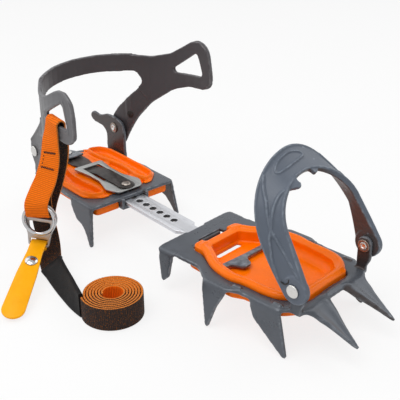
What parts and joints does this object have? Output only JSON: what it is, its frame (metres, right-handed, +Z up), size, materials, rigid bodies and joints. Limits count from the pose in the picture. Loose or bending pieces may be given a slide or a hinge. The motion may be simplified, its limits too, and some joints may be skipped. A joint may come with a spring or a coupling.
{
  "type": "strap crampon",
  "caption": "Strap crampon: hinged spiked steel frames on an adjustment bar, toe cage, heel cradle, orange anti-ball plates and a buckled strap with its tail rolled up.",
  "frame": {"origin": "on the ground under the middle of the frames, cage and cradle, with the strap and buckle left out", "axes": "+X towards the toe along the adjustment bar, +Z up from the spike tips, the buckle on the -Y side"},
  "size_m": [0.3588, 0.2163, 0.1503],
  "materials": {
    "frame_steel": "satin slate-grey coat",
    "orange_plastic": "glossy",
    "bright_steel": "satin",
    "copper_washer": "satin",
    "cradle_plastic": "satin moulded",
    "cage_plastic": "satin moulded",
    "black_steel": "blackened",
    "orange_webbing": "ribbed weave",
    "black_webbing": "ribbed weave",
    "buckle_chrome": "polished",
    "amber_plastic": "satin"
  },
  "bodies": {
    "heel_frame": {"heel_frame": "frame_steel", "heel_antiball_plate": "orange_plastic", "heel_rivets": "bright_steel", "heel_washers": "copper_washer", "spring_clamp": "frame_steel", "clamp_rivet": "bright_steel", "strap_front": "orange_webbing", "strap_tail": "black_webbing", "strap_sleeve": "black_webbing", "strap_roll": "black_webbing"},
    "heel_cradle": {"heel_cradle": "cradle_plastic"},
    "lock": {"leaf_spring": "black_steel", "lock_lever": "bright_steel", "lock_pin": "bright_steel"},
    "adjust_bar": {"adjust_bar": "bright_steel"},
    "front_frame": {"front_frame": "frame_steel", "front_antiball_plate": "orange_plastic", "front_cross_strip": "frame_steel", "toe_rivets": "bright_steel", "toe_washers": "copper_washer"},
    "toe_cage": {"toe_cage": "cage_plastic"},
    "buckle_plate": {"buckle_plate": "buckle_chrome"},
    "buckle_ring": {"buckle_ring": "buckle_chrome"},
    "pull_tab": {"pull_tab": "amber_plastic", "tab_rivet": "buckle_chrome"}
  },
  "joints": [
    {"name": "heel_cradle_hinge", "type": "hinge", "parent": "heel_frame", "child": "heel_cradle", "pos_m": [-0.14086, 0, 0.0595], "axis": [0, 1, 0], "range_deg": [-60, 25], "deforming": ["strap_front", "strap_tail"]},
    {"name": "lock_lift", "type": "hinge", "parent": "heel_frame", "child": "lock", "pos_m": [-0.15837, 0, 0.0347], "axis": [0, -1, 0], "range_deg": [0, 6], "stiffness_Nm_per_rad": 3, "springref_deg": -8.59},
    {"name": "adjust_slide", "type": "slide", "parent": "heel_frame", "child": "adjust_bar", "axis": [1, 0, 0], "range_m": [-0.027, 0.027]},
    {"name": "tee_hinge", "type": "hinge", "parent": "adjust_bar", "child": "front_frame", "pos_m": [0.02259, 0.00078, 0.03065], "axis": [-0.1045, 0.9945, 0], "range_deg": [-4, 4]},
    {"name": "toe_cage_hinge", "type": "hinge", "parent": "front_frame", "child": "toe_cage", "pos_m": [0.14144, 0.01328, 0.0525], "axis": [-0.1045, 0.9945, 0], "range_deg": [-35, 60]},
    {"name": "buckle_plate_swing", "type": "hinge", "parent": "heel_frame", "child": "buckle_plate", "pos_m": [-0.05908, -0.08929, 0.0504], "axis": [0.7133, 0.7009, 0], "range_deg": [-15, 15]},
    {"name": "buckle_ring_swing", "type": "hinge", "parent": "buckle_plate", "child": "buckle_ring", "pos_m": [-0.05753, -0.09086, 0.0529], "axis": [0.7133, 0.7009, 0], "range_deg": [-15, 0]},
    {"name": "pull_tab_swing", "type": "hinge", "parent": "buckle_plate", "child": "pull_tab", "pos_m": [-0.06217, -0.09078, 0.02003], "axis": [0.7063, 0.6941, -0.1392], "range_deg": [-45, 0]}
  ]
}
